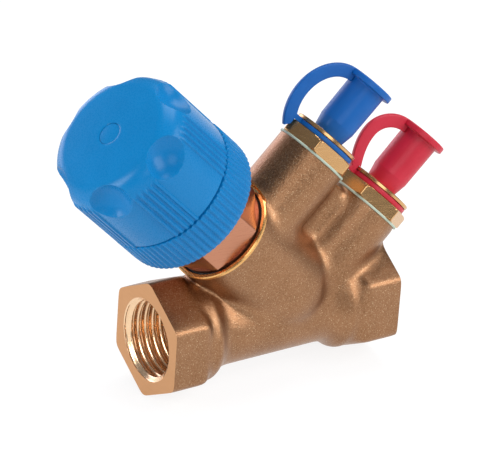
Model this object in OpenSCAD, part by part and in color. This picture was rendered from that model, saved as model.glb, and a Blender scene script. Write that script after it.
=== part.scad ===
// Manual balancing valve of the Y pattern, with a female pipe thread at both ends,
// a presettable handwheel and two self-sealing test ports with captive caps.
// The origin is the centre of the outlet end face. +X runs along the pipe to the inlet, +Z is up.
// Lengths are in millimetres and angles in degrees.

/* [Pipe ends] */
// Length from end face to end face
body_len = 65; // [62:1:80]
// Width across the flats of the end hexagons
hex_af = 27; // [26:0.5:32]
// Length of each end hexagon
hex_len = 10.5; // [9:0.5:13]
// Length of the round collar behind each hexagon
collar_len = 6; // [4:0.5:8]
// Outside radius of the pipe between the collars
pipe_r = 10.5; // [10:0.25:12]
// Minor radius of the female pipe thread
thread_r = 9.3155; // [8.8:0.05:9.8]
// Depth of the female pipe thread
thread_len = 13; // [10:0.5:15]
// Radius of the waterway behind the threads
bore_r = 7.5; // [6.5:0.25:8]

/* [Chamber and seat] */
// Distance from the outlet end face to where the spindle axis crosses the pipe axis
spindle_x = 44.6; // [43:0.2:46]
// Lean of the spindle axis towards the outlet
spindle_tilt = 45; // [42:1:48]
// Outside radius of the chamber
chamber_r = 13.1; // [12.6:0.1:14]
// Radius of the bore in the chamber
chamber_bore_r = 9.4; // [9:0.1:9.7]
// Height of the machined rim of the chamber along the spindle axis
rim_h = 36.5; // [36:0.25:40]
// Height of the seat face along the spindle axis
seat_h = 8; // [7:0.25:9]
// Thickness of the seat web
seat_t = 2.4; // [2:0.1:3]
// Radius of the opening in the seat
orifice_r = 6; // [5:0.25:6.5]
// Travel of the plug from closed to open
lift = 4.5; // [3:0.25:5]

/* [Bonnet and spindle] */
// Width across the flats of the bonnet hexagon
bonnet_af = 22.5; // [21:0.5:24]
// Length of the bonnet hexagon
bonnet_hex_len = 12; // [10:0.5:14]
// Radius of the bonnet thread
bonnet_thread_r = 9.85; // [9.8:0.05:10.4]
// Length of the bonnet thread
bonnet_thread_len = 7.5; // [6:0.5:9]
// Diameter of the section of the bonnet seal
bonnet_seal_d = 1.4; // [1:0.1:1.6]
// Radius of the spindle where it passes through the bonnet
spindle_r = 4; // [3.5:0.1:4.3]
// Radius of the spindle's adjusting thread
spindle_thread_r = 3; // [2.5:0.1:3.2]
// Width across the flats of the plug's stem
stem_af = 9.6; // [9.4:0.1:11]

/* [Handwheel] */
// Radius of the grip
grip_r = 17.75; // [16.5:0.25:20]
// Height of the ribbed ring
ring_len = 10.3; // [9:0.1:12]
// Height of the grip above the ring
grip_len = 23; // [20:0.1:26]
// Rounding of the grip's shoulder
shoulder_r = 5; // [3:0.5:7]
// Number of ribs round the ring
ring_ribs = 72; // [60:6:90]
// Height of the ribs on the ring and on the grip
rib_h = 0.4; // [0.3:0.05:0.6]
// Number of thumb dimples
dimples = 6; // [4:1:8]
// Radius of the ball that cuts a thumb dimple
dimple_ball_r = 8.5; // [8:0.25:12]
// Depth of a thumb dimple
dimple_depth = 2.5; // [1.2:0.1:2.8]
// Wall thickness of the handwheel
wheel_wall = 2; // [1.6:0.1:2.4]

/* [Test ports] */
// Height of the upper test port along the spindle axis
port_high = 28.7; // [28:0.1:30]
// Height of the lower test port along the spindle axis
port_low = 4.3; // [3.5:0.1:5]
// Radius of the cast bosses under the test ports
boss_r = 9.35; // [9:0.05:9.8]
// Distance from the spindle axis to the machined top of the bosses
boss_top = 28.2; // [27:0.2:30]
// Half thickness of the web between the bosses
web_half = 6; // [4:0.5:8]
// Width across the flats of the test port hexagon
port_af = 18; // [17:0.25:19]
// Length of the test port hexagon
port_hex_len = 3.35; // [3:0.05:5]
// Radius of the disc on top of the test port
disc_r = 8.65; // [8.2:0.05:9]
// Radius of the test port's thread
port_thread_r = 6.5; // [6:0.1:7]
// Length of the test port's thread
port_thread_len = 9; // [7:0.5:11]

/* [Caps] */
// Outside radius of the cap's handle
cap_r = 4.9; // [4:0.1:5.6]
// Length of the cap from the disc to its top face
cap_len = 16.8; // [14:0.2:20]
// Radius of the cap's top flange
cap_flange_r = 6.4; // [6.2:0.1:7]
// Radius of the plug under the cap
cap_plug_r = 3.5; // [3:0.1:3.8]
// Width of the strap
strap_w = 3.4; // [2.6:0.2:3.6]
// Thickness of the strap
strap_t = 1.4; // [1:0.1:1.8]
// Angle of the strap from the handwheel's direction, towards the back
strap_turn = 12; // [0:1:30]

/* [Hidden] */

// Roundness of curves, and the number of sides of a hexagon
$fn = 96;
six = 6;
// Overrun of a cut past a face, radial gap of a fit, and gap between loose pieces
over = 1;
fit_gap = 0.05;
free_gap = 0.1;

// End collars: how far they lie inside the hexagon's flats, and the rounding of their edges
collar_step = 0.2;
collar_r = hex_af / 2 - collar_step;
collar_round = 2;
hex_corner = hex_af / sqrt(3);
hex_bevel = 1.2;

// Chamber: the ball at its bottom, and the counterbore for the bonnet seal
ball_h = seat_h + orifice_r * 2 / 3;
counterbore_len = 2;
flange_step = 1.05;
flange_r = bonnet_thread_r + flange_step;
counterbore_r = flange_r + bonnet_seal_d;
counterbore_h = rim_h - counterbore_len;
thread_low_h = counterbore_h - bonnet_thread_len;
rim_step = 0.5;
rim_r = chamber_r + rim_step;
rim_len = 1.6;
rim_gap = 0.4;
throat_h = seat_h - seat_t - orifice_r * 2 / 3;

// Bonnet: hexagon over a round flange, turret inside the handwheel, and the guide of the plug's stem
hex_low_h = rim_h + rim_gap;
hex_high_h = hex_low_h + bonnet_hex_len;
bonnet_bevel = 1;
bonnet_turn = 53;
bonnet_flange_gap = 0.45;
bonnet_flange_r = counterbore_r - bonnet_flange_gap;
wheel_h = hex_high_h + 2 * free_gap;
turret_r = 8.8;
clip_t = 0.8;
turret_h = wheel_h + ring_len - wheel_wall - clip_t - 4 * free_gap;
guide_step = 1.4;
guide_r = chamber_bore_r - guide_step;
guide_len = 7;
guide_low_h = thread_low_h - guide_len;
stem_gap = 0.1;
guide_top_h = rim_h;

// Spindle: shoulder under the bonnet, drive hexagon, clip and the central bore
shoulder_len = 1.4;
shoulder_high_h = guide_top_h - free_gap;
shoulder_low_h = shoulder_high_h - shoulder_len;
spindle_low_h = guide_low_h;
spindle_shoulder_r = stem_af / 2 - fit_gap;
drive_af = 6;
spindle_top_share = 0.46;
spindle_top_h = wheel_h + ring_len + grip_len * spindle_top_share;
clip_low_h = turret_h + free_gap;
clip_groove_depth = 0.6;
clip_groove_r = spindle_r - clip_groove_depth;
clip_reach = 2;
clip_r = spindle_r + clip_reach;
screw_r = 1.5;
o_ring_d = 1.5;
o_ring_places = [hex_low_h + bonnet_hex_len / 4, hex_low_h + bonnet_hex_len * 3 / 4];

// Plug: the seal sits on the seat at rest, and the stem climbs the spindle's thread
seal_t = 1.6;
seal_low_h = seat_h + fit_gap;
seal_overlap = 1.4;
seal_r = orifice_r + seal_overlap;
head_lip = 0.8;
head_r = seal_r + head_lip;
head_len = 4.6;
head_low_h = seal_low_h + seal_t / 2;
head_high_h = head_low_h + head_len;
plug_top_h = shoulder_low_h - free_gap - lift;
plug_floor_t = 1.5;
plug_floor_h = head_high_h + plug_floor_t;
cone_neck_step = 1.8;
cone_neck_r = orifice_r - cone_neck_step;
cone_stud_r = 2.2;
cone_len = 5;
cone_low_step = 1.7;
cone_low_r = orifice_r - cone_low_step;

// Handwheel: ring, grip shell, hub and the screw under the cover
ring_top_h = wheel_h + ring_len;
wheel_top_h = ring_top_h + grip_len;
seam_gap = 0.35;
seam_depth = 0.7;
hub_r = 5.5;
hub_len = 6.5;
hub_mid_h = ring_top_h + hub_len;
crown_rise = 0.8;
cover_r = 2.85;
cover_t = 1.8;
cover_hole_len = 6.4;
screw_head_gap = 0.25;
screw_head_r = cover_r - screw_head_gap;
screw_head_t = 2.5;
screw_seat_h = wheel_top_h - cover_hole_len;
hollow_top_h = wheel_top_h - shoulder_r - wheel_wall - dimple_depth;
dimple_turn = -77;
dimple_tilt = 20;
dimple_h = wheel_top_h - crown_rise - shoulder_r;
ribs_per_group = 5;
rib_pitch = 360 / ring_ribs;
rib_end_share = 0.32;
rib_top_h = dimple_h + shoulder_r * rib_end_share;
rib_end_len = 4 * rib_h;
tooth_shares = [[0, 0], [0.2, 1], [0.5, 1], [0.7, 0]];
tooth_middle_share = 0.35;

// Test ports, measured from the spindle axis
seal_ring_t = 0.6;
seal_ring_step = 0.3;
hex_start = boss_top + seal_ring_t;
hex_end = hex_start + port_hex_len;
groove_depth = 1.45;
groove_r = disc_r - groove_depth;
groove_len = 1.4;
disc_t = 0.9;
disc_low = hex_end + groove_len;
disc_high = disc_low + disc_t;
port_bevel = 0.7;
port_low_end = boss_top - port_thread_len;
socket_len = 4;
core_r = 4.2;
core_len = 6;
retainer_t = 1;
passage_r = 1.5;
sense_r = 1.1;
sense_drop = 4.3;
blue_hex_turn = 45;
red_hex_turn = 32;

// Caps and tethers
cap_low = disc_high + free_gap;
cap_high = disc_high + cap_len;
cap_flange_t = 1.6;
cap_bevel = 3.6;
cap_toe_step = 0.8;
cap_toe_r = cap_r - cap_toe_step;
cap_draft = 0.1;
cap_bottom_r = cap_r - cap_draft;
cap_plug_len = socket_len - free_gap;
tether_inset = 0.15;
tether_r = disc_r - tether_inset;
tether_mid = hex_end + groove_len / 2;
tether_t = groove_len - 2 * free_gap;

// Straps: how far the belly stands out past the disc, its height as a share of the cap's length,
// where the lower end starts, and how fast that end draws in to the ring
strap_out_share = 0.31;
strap_out = (disc_r + cap_flange_r) * strap_out_share;
strap_end = 78;
blue_belly = 5.17;
blue_belly_share = 0.36;
blue_strap_start = -50;
blue_strap_draw = 1;
red_belly = 3.8;
red_belly_share = 0.58;
red_strap_start = -42;
red_strap_draw = 3;

colour_cast = [0.66, 0.47, 0.32];
colour_brass = [0.78, 0.58, 0.36];
colour_blue = [0.13, 0.5, 0.8];
colour_cap_blue = [0.1, 0.36, 0.7];
colour_cap_red = [0.8, 0.15, 0.25];
colour_rubber = [0.08, 0.08, 0.09];
colour_seal = [0.72, 0.82, 0.74];
colour_steel = [0.7, 0.7, 0.72];

// Puts children in the spindle's frame: z runs up the spindle, x towards the test ports' caps
module on_spindle() {
  translate([spindle_x, 0, 0]) rotate([0, -spindle_tilt, 0]) children();
}

// Puts children in a test port's frame: z runs out of the port, from the spindle axis
module on_port(height) {
  on_spindle() translate([0, 0, height]) rotate([0, 90, 0]) children();
}

// Round bar between two heights
module bar(r, low, high) {
  translate([0, 0, low]) cylinder(r = r, h = high - low);
}

// Round bar whose radius changes evenly between two heights
module taper(r_low, r_high, low, high) {
  translate([0, 0, low]) cylinder(r1 = r_low, r2 = r_high, h = high - low);
}

// Hexagonal bar between two heights, by its width across the flats
module hex_bar(af, low, high) {
  translate([0, 0, low]) cylinder(r = af / sqrt(3), h = high - low, $fn = six);
}

// Round ring between two heights
module ring(r_out, r_in, low, high) {
  difference() {
    bar(r_out, low, high);
    bar(r_in, low - over, high + over);
  }
}

// Ring of round section
module o_ring(r, d) {
  rotate_extrude() translate([r, 0]) circle(d = d);
}

// Hexagonal bar whose corners are turned off at both ends
module bevelled_hex(af, low, high, bevel) {
  corner = af / sqrt(3);
  intersection() {
    hex_bar(af, low, high);
    union() {
      taper(corner - bevel, corner, low, low + bevel / 2);
      bar(corner, low + bevel / 2, high - bevel / 2);
      taper(corner, corner - bevel, high - bevel / 2, high);
    }
  }
}

// One cast pipe end, from its end face inwards: hexagon, then a round collar
module pipe_end() {
  rotate([0, 90, 0]) {
    intersection() {
      hex_bar(hex_af, 0, hex_len);
      union() {
        bar(hex_corner, 0, hex_len - hex_bevel);
        taper(hex_corner, hex_corner - hex_bevel, hex_len - hex_bevel, hex_len);
      }
    }
    bar(collar_r, hex_len / 2, hex_len + collar_len - collar_round);
    taper(collar_r, pipe_r, hex_len + collar_len - collar_round, hex_len + collar_len);
  }
}

// Outer form of the casting
module casting() {
  pipe_end();
  translate([body_len, 0, 0]) mirror([1, 0, 0]) pipe_end();
  translate([hex_len, 0, 0]) rotate([0, 90, 0]) bar(pipe_r, 0, body_len - 2 * hex_len);
  on_spindle() {
    bar(chamber_r, ball_h, rim_h);
    bar(rim_r, rim_h - rim_len, rim_h);
    translate([0, 0, ball_h]) sphere(r = chamber_r);
    translate([0, -web_half, port_low])
      cube([boss_top - over, 2 * web_half, port_high - port_low]);
  }
  for (height = [port_low, port_high]) on_port(height) bar(boss_r, 0, boss_top);
}

// Waterway on one side of the seat web: up is 1 for the outlet side and 0 for the inlet side
module waterway(up) {
  start = up == 1 ? 0 : spindle_x - chamber_bore_r * 2;
  stop = up == 1 ? spindle_x + chamber_bore_r : body_len;
  intersection() {
    translate([start, 0, 0]) rotate([0, 90, 0]) bar(bore_r, 0, stop - start);
    on_spindle() {
      if (up == 1)
        translate([-body_len, -body_len, seat_h]) cube(2 * body_len);
      else
        translate([-body_len, -body_len, seat_h - seat_t - 2 * body_len]) cube(2 * body_len);
    }
  }
}

// Everything that is machined out of the casting
module machining() {
  rotate([0, 90, 0]) {
    bar(thread_r, -over, thread_len);
    bar(thread_r, body_len - thread_len, body_len + over);
  }
  waterway(1);
  waterway(0);
  on_spindle() {
    bar(orifice_r, throat_h, seat_h + over);
    bar(chamber_bore_r, seat_h, thread_low_h + over);
    bar(bonnet_thread_r, thread_low_h, counterbore_h + over);
    bar(counterbore_r, counterbore_h, rim_h + over);
    bar(rim_r + rim_gap, rim_h, rim_h + chamber_r);
  }
  for (height = [port_low, port_high]) on_port(height) bar(port_thread_r, port_low_end, boss_top + over);
  on_port(port_low) bar(sense_r, chamber_bore_r / 2, port_low_end + over);
  on_port(port_high - sense_drop) bar(sense_r, chamber_bore_r / 2, port_low_end + over);
}

module valve_body() {
  color(colour_cast) difference() {
    casting();
    machining();
  }
}

module bonnet() {
  color(colour_brass) on_spindle() difference() {
    union() {
      bar(guide_r, guide_low_h, thread_low_h + over);
      bar(bonnet_thread_r - fit_gap, thread_low_h, counterbore_h + over);
      bar(flange_r, counterbore_h, hex_low_h + over);
      bar(bonnet_flange_r, counterbore_h + bonnet_seal_d + free_gap, hex_low_h + over);
      rotate([0, 0, bonnet_turn]) bevelled_hex(bonnet_af, hex_low_h, hex_high_h, bonnet_bevel);
      bar(turret_r, hex_high_h - over, turret_h);
    }
    rotate([0, 0, bonnet_turn]) hex_bar(stem_af + 2 * stem_gap, guide_low_h - over, guide_top_h);
    bar(spindle_r + fit_gap, guide_top_h - over, turret_h + over);
  }
}

module bonnet_seal() {
  color(colour_rubber) on_spindle() translate([0, 0, counterbore_h + bonnet_seal_d / 2])
    o_ring(flange_r + bonnet_seal_d / 2, bonnet_seal_d - fit_gap);
}

module spindle() {
  color(colour_brass) on_spindle() difference() {
    union() {
      bar(spindle_thread_r, spindle_low_h, shoulder_low_h + over);
      bar(spindle_shoulder_r, shoulder_low_h, shoulder_high_h);
      bar(spindle_r, shoulder_low_h, clip_low_h + clip_t + free_gap);
      hex_bar(drive_af, clip_low_h, spindle_top_h);
    }
    for (height = o_ring_places)
      ring(spindle_r + over, spindle_r - o_ring_d + fit_gap, height - o_ring_d / 2, height + o_ring_d / 2);
    ring(spindle_r + over, clip_groove_r, clip_low_h, clip_low_h + clip_t);
    bar(screw_r, spindle_low_h - over, spindle_top_h + over);
  }
}

module spindle_seals() {
  color(colour_rubber) on_spindle() for (height = o_ring_places) translate([0, 0, height])
    o_ring(spindle_r + fit_gap / 2 - o_ring_d / 2, o_ring_d - fit_gap);
}

module spindle_clip() {
  color(colour_steel) on_spindle() difference() {
    ring(clip_r, clip_groove_r, clip_low_h, clip_low_h + clip_t);
    translate([0, -clip_groove_r / 2, clip_low_h - over]) cube([clip_r + over, clip_groove_r, clip_t + 2 * over]);
  }
}

module valve_plug() {
  color(colour_brass) on_spindle() difference() {
    union() {
      bar(head_r, head_low_h, head_high_h);
      rotate([0, 0, bonnet_turn]) hex_bar(stem_af, head_high_h - over, plug_top_h);
    }
    bar(seal_r, head_low_h - over, seal_low_h + seal_t);
    bar(cone_stud_r, head_low_h - over, head_high_h);
    bar(spindle_thread_r + fit_gap, plug_floor_h, plug_top_h + over);
  }
}

module plug_seal() {
  color(colour_rubber) on_spindle() ring(seal_r, cone_neck_r, seal_low_h, seal_low_h + seal_t);
}

module regulating_cone() {
  color(colour_brass) on_spindle() {
    bar(cone_stud_r, seal_low_h, head_high_h);
    bar(cone_neck_r, seal_low_h - over / 2, seal_low_h + seal_t);
    taper(cone_low_r, orifice_r - 4 * fit_gap, seal_low_h - cone_len, seal_low_h);
  }
}

module preset_stop_screw() {
  color(colour_steel) on_spindle() difference() {
    bar(screw_r, plug_floor_h + lift, hex_high_h);
    hex_bar(screw_r, hex_high_h - 2 * screw_r, hex_high_h + over);
  }
}

// Outline of a ribbed ring with flat-topped ribs: the first "kept" ones of every "period"
module ribbed_outline(r_low, r_high, count, period, kept) {
  polygon([
    for (i = [0 : count - 1]) for (s = tooth_shares)
      (i % period < kept ? r_low + s[1] * (r_high - r_low) : r_low)
        * [cos((i + s[0]) * 360 / count), sin((i + s[0]) * 360 / count)]
  ]);
}

module handwheel_ring() {
  color(colour_blue) on_spindle() difference() {
    union() {
      translate([0, 0, wheel_h]) linear_extrude(ring_len)
        ribbed_outline(grip_r, grip_r + rib_h, ring_ribs, 1, 1);
      bar(hub_r, ring_top_h - over, hub_mid_h);
    }
    bar(grip_r - wheel_wall, wheel_h - over, ring_top_h - wheel_wall);
    hex_bar(drive_af + 2 * fit_gap, wheel_h, hub_mid_h + over);
  }
}

// Half section of the grip's outside, from the axis out
module grip_section(r, low, high, round_r) {
  rise_r = (r * r + crown_rise * crown_rise) / (2 * crown_rise);
  intersection() {
    union() {
      translate([0, low]) square([r, high - crown_rise - round_r - low]);
      translate([0, high - crown_rise - 2 * round_r]) square([r - round_r, 2 * round_r + crown_rise]);
      translate([r - round_r, high - crown_rise - round_r]) circle(r = round_r);
    }
    translate([0, high - rise_r]) circle(r = rise_r, $fn = 8 * $fn);
    translate([0, low]) square([r, high - low]);
  }
}

// Groups of ribs between the dimples, which run out on the shoulder
module grip_ribs() {
  low = ring_top_h + seam_gap;
  first = dimple_turn + 180 / dimples - ((ribs_per_group - 1) / 2 + tooth_middle_share) * rib_pitch;
  intersection() {
    rotate([0, 0, first]) translate([0, 0, low]) linear_extrude(rib_top_h - low)
      ribbed_outline(grip_r - rib_h, grip_r + rib_h, ring_ribs, ring_ribs / dimples, ribs_per_group);
    union() {
      bar(grip_r + 2 * rib_h, low - over, rib_top_h - rib_end_len);
      taper(grip_r + 2 * rib_h, grip_r - 2 * rib_h, rib_top_h - rib_end_len, rib_top_h + over / 10);
    }
  }
}

module handwheel_grip() {
  color(colour_blue) on_spindle() difference() {
    union() {
      rotate_extrude() grip_section(grip_r, ring_top_h, wheel_top_h, shoulder_r);
      grip_ribs();
    }
    ring(grip_r + over, grip_r - seam_depth, ring_top_h - over, ring_top_h + seam_gap);
    difference() {
      bar(grip_r - wheel_wall, ring_top_h - over, hollow_top_h);
      bar(hub_r, hub_mid_h, wheel_top_h);
    }
    hex_bar(drive_af + 2 * fit_gap, hub_mid_h - over, spindle_top_h + fit_gap);
    bar(screw_r + fit_gap, spindle_top_h, wheel_top_h);
    bar(cover_r, screw_seat_h, wheel_top_h + over);
    for (k = [0 : dimples - 1])
      rotate([0, 0, dimple_turn + k * 360 / dimples])
        translate([grip_r - shoulder_r, 0, dimple_h]) rotate([0, -dimple_tilt, 0])
          translate([shoulder_r - dimple_depth + dimple_ball_r, 0, 0]) sphere(r = dimple_ball_r);
  }
}

module handwheel_screw() {
  color(colour_steel) on_spindle() difference() {
    union() {
      bar(screw_r, hex_high_h + screw_head_t, screw_seat_h + screw_head_t / 4);
      bar(screw_head_r, screw_seat_h, screw_seat_h + screw_head_t);
    }
    hex_bar(screw_head_r, screw_seat_h + screw_head_t / 3, screw_seat_h + screw_head_t + over);
  }
}

module handwheel_cover() {
  color(colour_blue) on_spindle() difference() {
    bar(cover_r - fit_gap, wheel_top_h - crown_rise / 4 - cover_t, wheel_top_h - crown_rise / 4);
    bar(cover_r / 2, wheel_top_h - 2 * cover_t, wheel_top_h - cover_t);
  }
}

// Body of a test port: screwed end, hexagon, groove for the tether ring and top disc
module port_body(height, turn) {
  color(colour_brass) on_port(height) difference() {
    union() {
      bar(port_thread_r - fit_gap, port_low_end, hex_start + over / 2);
      rotate([0, 0, turn]) bevelled_hex(port_af, hex_start, hex_end, port_bevel);
      bar(groove_r, hex_end - over / 2, disc_low + disc_t / 2);
      bar(disc_r, disc_low, disc_high);
    }
    bar(cap_plug_r + fit_gap, disc_high - socket_len, disc_high + over);
    bar(core_r, disc_high - socket_len - retainer_t - core_len, disc_high - socket_len);
    bar(passage_r, port_low_end - over, disc_high - socket_len);
  }
}

module port_seal(height) {
  color(colour_seal) on_port(height) ring(boss_r + seal_ring_step, port_thread_r, boss_top, hex_start);
}

// Rubber core with the slit that the needle goes through
module port_core(height) {
  core_high = disc_high - socket_len - retainer_t;
  color(colour_rubber) on_port(height) difference() {
    bar(core_r, core_high - core_len, core_high);
    taper(passage_r / 2, passage_r, core_high - core_len / 3, core_high + over / 2);
  }
}

module port_retainer(height) {
  color(colour_brass) on_port(height)
    ring(core_r, passage_r, disc_high - socket_len - retainer_t, disc_high - socket_len);
}

module tether_ring(height, tint) {
  color(tint) on_port(height)
    ring(tether_r, groove_r + free_gap, tether_mid - tether_t / 2, tether_mid + tether_t / 2);
}

// Flat outline of a strap: x is the distance from the port's axis, y the height above the tether ring.
// The strap starts at the ring, bellies out past the disc and ends at the cap's flange.
module strap_outline(belly, belly_share, start, draw) {
  steps = 24;
  up = cap_len * belly_share;
  reach = disc_r + belly - strap_out;
  rise = cap_len - up;
  drop = draw == 1 ? rise : cap_len - groove_len + strap_t / 10;
  function place(a, side) = [
    strap_out + (reach + side * strap_w / 2) * (a < 0 ? pow(cos(a), draw) : cos(a)),
    up + ((a < 0 ? drop : rise) + side * strap_w / 2) * sin(a)
  ];
  polygon(concat(
    [for (i = [0 : steps]) place(start + i * (strap_end - start) / steps, 1)],
    [for (i = [steps : -1 : 0]) place(start + i * (strap_end - start) / steps, -1)]
  ));
  translate([tether_r - fit_gap, -tether_t / 2]) square([strap_w, tether_t]);
}

module strap(height, tint, belly, belly_share, start, draw) {
  color(tint) on_port(height) difference() {
    rotate([0, 0, 180 - strap_turn]) translate([0, strap_t / 2, tether_mid]) rotate([90, 0, 0])
      linear_extrude(strap_t) strap_outline(belly, belly_share, start, draw);
    bar(port_af / sqrt(3) + free_gap, hex_start - over, tether_mid - tether_t / 2);
    bar(tether_r, tether_mid - tether_t, tether_mid + tether_t);
    bar(disc_r + free_gap, tether_mid + tether_t / 2, disc_high + free_gap);
    bar(cap_r + free_gap, tether_mid, cap_high - cap_flange_t);
    bar(cap_flange_r + fit_gap, cap_high - cap_flange_t - fit_gap, cap_high + strap_w);
  }
}

// Pull-off cap: plug, handle with a bevelled foot, and the flange at its top
module cap(height, tint) {
  color(tint) on_port(height) {
    bar(cap_plug_r, disc_high - cap_plug_len, cap_low + over / 2);
    taper(cap_toe_r, cap_bottom_r, cap_low, cap_low + cap_bevel);
    taper(cap_bottom_r, cap_r, cap_low + cap_bevel, cap_high - cap_flange_t);
    bar(cap_flange_r, cap_high - cap_flange_t, cap_high);
  }
}

valve_body();
bonnet();
bonnet_seal();
spindle();
spindle_clip();
spindle_seals();
valve_plug();
plug_seal();
regulating_cone();
preset_stop_screw();
handwheel_ring();
handwheel_grip();
handwheel_screw();
handwheel_cover();
port_body(port_high, blue_hex_turn);  // blue_port_body
port_seal(port_high);  // blue_port_seal
port_core(port_high);  // blue_port_core
port_retainer(port_high);  // blue_port_retainer
tether_ring(port_high, colour_cap_blue);  // blue_tether_ring
strap(port_high, colour_cap_blue, blue_belly, blue_belly_share, blue_strap_start, blue_strap_draw);  // blue_strap
cap(port_high, colour_cap_blue);  // blue_cap
port_body(port_low, red_hex_turn);  // red_port_body
port_seal(port_low);  // red_port_seal
port_core(port_low);  // red_port_core
port_retainer(port_low);  // red_port_retainer
tether_ring(port_low, colour_cap_red);  // red_tether_ring
strap(port_low, colour_cap_red, red_belly, red_belly_share, red_strap_start, red_strap_draw);  // red_strap
cap(port_low, colour_cap_red);  // red_cap
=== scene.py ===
import math

import bmesh
import bpy
import numpy as np
from mathutils import Matrix, Vector


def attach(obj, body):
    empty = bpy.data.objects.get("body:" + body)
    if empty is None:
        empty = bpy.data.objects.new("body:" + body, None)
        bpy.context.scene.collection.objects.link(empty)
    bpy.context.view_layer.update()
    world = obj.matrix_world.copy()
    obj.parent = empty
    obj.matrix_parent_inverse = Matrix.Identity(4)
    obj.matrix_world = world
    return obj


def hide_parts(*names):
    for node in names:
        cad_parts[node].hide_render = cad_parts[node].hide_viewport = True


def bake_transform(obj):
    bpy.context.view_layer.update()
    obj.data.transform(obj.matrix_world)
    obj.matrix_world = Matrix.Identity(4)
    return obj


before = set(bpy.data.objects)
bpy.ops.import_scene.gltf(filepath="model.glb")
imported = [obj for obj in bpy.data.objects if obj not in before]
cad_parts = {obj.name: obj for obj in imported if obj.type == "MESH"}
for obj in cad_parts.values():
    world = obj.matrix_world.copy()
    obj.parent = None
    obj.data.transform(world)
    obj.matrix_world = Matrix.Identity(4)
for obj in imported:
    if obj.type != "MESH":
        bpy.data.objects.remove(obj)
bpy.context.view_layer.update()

MM = 0.001

# Places of the part, in millimetres: x runs from the outlet to the inlet, z is up
BODY_LEN = 65.0
SPINDLE_X = 44.6
LEAN = math.radians(45)
PORT_HIGH = 28.7
PORT_LOW = 4.3
BOSS_TOP = 28.2
PORT_FLOOR = 19.2
SPINDLE = Matrix.Translation((SPINDLE_X, 0, 0)) @ Matrix.Rotation(-LEAN, 4, "Y")
# Frames of the two pipe ends: z runs into the body from the end face
OUTLET = Matrix.Rotation(math.radians(90), 4, "Y")
INLET = Matrix.Translation((BODY_LEN, 0, 0)) @ Matrix.Rotation(math.radians(-90), 4, "Y")


def port_frame(height):
    """Frame of a test port: z runs out of the port, from the spindle axis."""
    return SPINDLE @ Matrix.Translation((0, 0, height)) @ Matrix.Rotation(math.radians(90), 4, "Y")


# Mesh tools

def new_object(name, verts, faces, place=Matrix.Identity(4), smooth=True):
    """Mesh object from points in millimetres, put in place and scaled to metres."""
    mesh = bpy.data.meshes.new(name)
    mesh.from_pydata([tuple(v) for v in verts], [], [tuple(f) for f in faces])
    mesh.transform(Matrix.Scale(MM, 4) @ place)
    obj = bpy.data.objects.new(name, mesh)
    bpy.context.scene.collection.objects.link(obj)
    fix_normals(obj)
    if smooth:
        shade(obj)
    return obj


def fix_normals(obj):
    bm = bmesh.new()
    bm.from_mesh(obj.data)
    bmesh.ops.recalc_face_normals(bm, faces=bm.faces)
    bm.to_mesh(obj.data)
    bm.free()


def shade(obj, angle=35):
    obj.data.shade_smooth()
    obj.data.set_sharp_from_angle(angle=math.radians(angle))


def apply_modifiers(obj):
    graph = bpy.context.evaluated_depsgraph_get()
    graph.update()
    mesh = bpy.data.meshes.new_from_object(obj.evaluated_get(graph), depsgraph=graph)
    old = obj.data
    obj.modifiers.clear()
    obj.data = mesh
    bpy.data.meshes.remove(old)


def cut(obj, cutter, operation="DIFFERENCE"):
    """Boolean of obj with cutter, which is removed. The cut faces keep the cutter's material."""
    mod = obj.modifiers.new("cut", "BOOLEAN")
    mod.operation = operation
    mod.solver = "MANIFOLD"
    mod.material_mode = "TRANSFER"
    mod.object = cutter
    apply_modifiers(obj)
    bpy.data.objects.remove(cutter)


def dress(obj, material):
    obj.data.materials.clear()
    obj.data.materials.append(material)


def box(name, xs, ys, zs, place=Matrix.Identity(4), smooth=True):
    """Block between two x, two y and two z values."""
    corners = [(x, y, z) for x in xs for y in ys for z in zs]
    sides = [(0, 1, 3, 2), (4, 6, 7, 5), (0, 4, 5, 1), (2, 3, 7, 6), (0, 2, 6, 4), (1, 5, 7, 3)]
    return new_object(name, corners, sides, place, smooth)


def fan_angles(count):
    return np.arange(count) * (2 * math.pi / count)


def grid(name, rows, angles, place, loop=False):
    """Solid whose rows are rings (height, radius), each of them a number or one number per angle.
    A looped grid joins its last row to its first, and another is closed by its two ends."""
    count = len(angles)
    verts = []
    for height, radius in rows:
        radius = np.broadcast_to(np.asarray(radius, float), count)
        height = np.broadcast_to(np.asarray(height, float), count)
        verts += list(zip(radius * np.cos(angles), radius * np.sin(angles), height))
    faces = []
    last = len(rows) if loop else len(rows) - 1
    for i in range(last):
        a, b = i * count, (i + 1) % len(rows) * count
        for j in range(count):
            k = (j + 1) % count
            faces.append((a + j, a + k, b + k, b + j))
    if not loop:
        faces.append(tuple(range(count))[::-1])
        faces.append(tuple(range(last * count, (last + 1) * count)))
    return new_object(name, verts, faces, place)


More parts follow.
